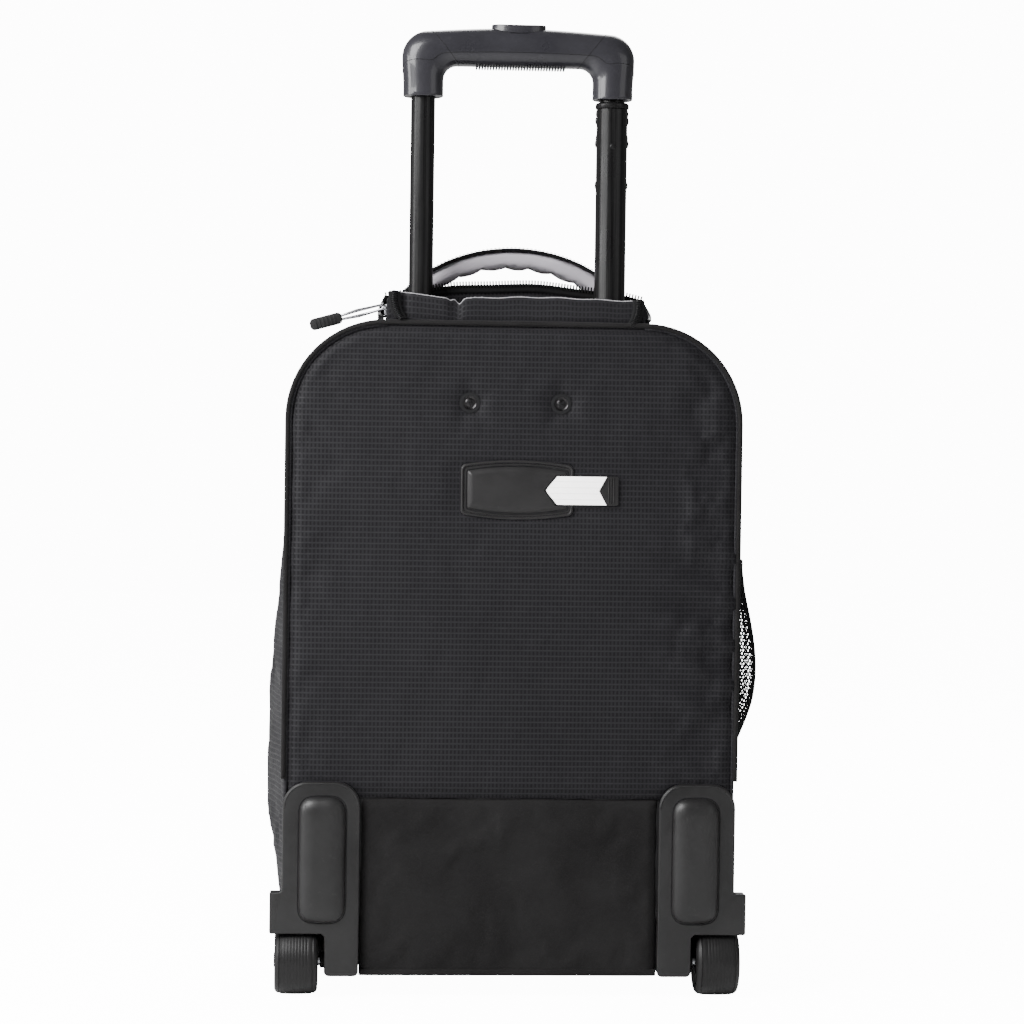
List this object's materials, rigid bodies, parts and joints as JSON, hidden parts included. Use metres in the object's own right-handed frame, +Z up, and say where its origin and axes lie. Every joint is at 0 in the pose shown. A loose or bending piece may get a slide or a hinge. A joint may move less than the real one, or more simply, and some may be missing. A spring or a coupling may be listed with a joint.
{
  "type": "rolling laptop case",
  "caption": "Soft-sided upright rolling laptop case with a telescopic handle, rear wheels, a padded back and a zipped front lid.",
  "frame": {"origin": "on the ground, under the middle of the standing case", "axes": "+Z up; +X to the right seen from behind; -Y out of the back, where the wheels and the handle are, and +Y out of the front"},
  "size_m": [0.382, 0.2344, 0.7681],
  "materials": {
    "ripstop": "matte",
    "plain_fabric": "matte",
    "lining": "matte",
    "stiff_board": "matte",
    "mesh": "matte",
    "housing_plastic": "satin",
    "grip_plastic": "satin",
    "tube": "satin",
    "steel": "satin",
    "tyre": "matte",
    "rubber": "matte",
    "tag": "satin",
    "patch": "matte"
  },
  "bodies": {
    "case": {"back_panel": "ripstop", "lower_panel": "plain_fabric", "back_board": "stiff_board", "back_screw_left": "steel", "back_screw_right": "steel", "back_piping": "plain_fabric", "top_gusset": "ripstop", "side_gusset_right": "ripstop", "side_gusset_left": "ripstop", "bottom_board": "stiff_board", "front_kick_panel": "plain_fabric", "frame_cover": "lining", "tube_base": "stiff_board", "outer_tube_right": "tube", "outer_tube_left": "tube", "tube_bezel": "grip_plastic", "cross_brace": "steel", "pocket_collar": "ripstop", "pocket_hood": "ripstop", "handle_zip_slider": "steel", "wheel_housing_right": "housing_plastic", "wheel_housing_left": "housing_plastic", "axle_right": "steel", "axle_left": "steel", "axle_spacer_right": "stiff_board", "axle_spacer_left": "stiff_board", "front_foot_right": "rubber", "front_foot_left": "rubber", "tag_holder": "patch", "mesh_pocket": "mesh", "laptop_sleeve": "lining", "lid_fold": "plain_fabric"},
    "stage_left": {"middle_tube_left": "tube", "middle_cap_left": "grip_plastic"},
    "stage_right": {"middle_tube_right": "tube", "middle_cap_right": "grip_plastic"},
    "grip": {"grip_upper": "grip_plastic", "grip_lower": "grip_plastic", "inner_tube_right": "tube", "inner_tube_left": "tube", "button_spring": "steel"},
    "button": {"release_button": "grip_plastic", "transfer_bar": "steel", "push_rod_right": "steel", "push_rod_left": "steel"},
    "pin_left": {"lock_pin_left": "steel"},
    "pin_right": {"lock_pin_right": "steel"},
    "wheel_left": {"wheel_core_left": "housing_plastic", "wheel_bearing_left": "steel", "tyre_left": "tyre"},
    "wheel_right": {"wheel_core_right": "housing_plastic", "wheel_bearing_right": "steel", "tyre_right": "tyre"},
    "tag": {"name_tag": "tag"},
    "lid": {"front_lid": "ripstop", "front_pocket": "ripstop"},
    "pocket_slider": {"pocket_zip_slider": "steel"},
    "main_slider": {"main_zip_slider": "steel"},
    "zip_pull": {"handle_zip_pull": "rubber"},
    "grab": {"grab_handle": "lining"}
  },
  "joints": [
    {"name": "right_stage_slide", "type": "slide", "parent": "case", "child": "stage_right", "axis": [0, 0, 1], "range_m": [-0.165, 0.045]},
    {"name": "grip_slide", "type": "slide", "parent": "stage_right", "child": "grip", "axis": [0, 0, 1], "range_m": [0, 0.21]},
    {"name": "left_stage_slide", "type": "slide", "parent": "case", "child": "stage_left", "axis": [0, 0, 1], "range_m": [0, 0.21]},
    {"name": "button_press", "type": "slide", "parent": "grip", "child": "button", "axis": [0, 0, -1], "range_m": [0, 0.004], "stiffness_N_per_m": 600, "springref_m": -0.01},
    {"name": "right_pin_slide", "type": "slide", "parent": "grip", "child": "pin_right", "axis": [-1, 0, 0], "range_m": [0, 0.0012]},
    {"name": "left_pin_slide", "type": "slide", "parent": "grip", "child": "pin_left", "axis": [1, 0, 0], "range_m": [0, 0.0012]},
    {"name": "right_wheel_spin", "type": "hinge", "parent": "case", "child": "wheel_right", "pos_m": [0.165, -0.089, 0.027], "axis": [1, 0, 0], "continuous": true},
    {"name": "left_wheel_spin", "type": "hinge", "parent": "case", "child": "wheel_left", "pos_m": [-0.165, -0.089, 0.027], "axis": [1, 0, 0], "continuous": true},
    {"name": "tag_slide", "type": "slide", "parent": "case", "child": "tag", "axis": [1, 0, 0], "range_m": [-0.015, 0.045]},
    {"name": "lid_fold_hinge", "type": "hinge", "parent": "case", "child": "lid", "pos_m": [0, 0.0824, 0.054], "axis": [-1, 0, 0], "range_deg": [0, 80]},
    {"name": "pocket_slider_run", "type": "slide", "parent": "lid", "child": "pocket_slider", "axis": [1, 0, 0], "range_m": [0, 0.236]},
    {"name": "main_slider_run", "type": "slide", "parent": "case", "child": "main_slider", "axis": [0, 0, 1], "range_m": [0, 0.32]},
    {"name": "zip_pull_swing", "type": "hinge", "parent": "case", "child": "zip_pull", "pos_m": [-0.107, -0.0946, 0.543], "axis": [0, 1, 0], "range_deg": [0, 80]},
    {"name": "grab_handle_flop", "type": "hinge", "parent": "case", "child": "grab", "pos_m": [0, -0.02, 0.532], "axis": [-1, 0, 0], "range_deg": [0, 75]}
  ],
  "couplings": [
    {"joint": "left_stage_slide", "follows": "grip_slide", "ratio": 1},
    {"joint": "right_pin_slide", "follows": "button_press", "ratio": 0.3},
    {"joint": "left_pin_slide", "follows": "button_press", "ratio": 0.3}
  ]
}
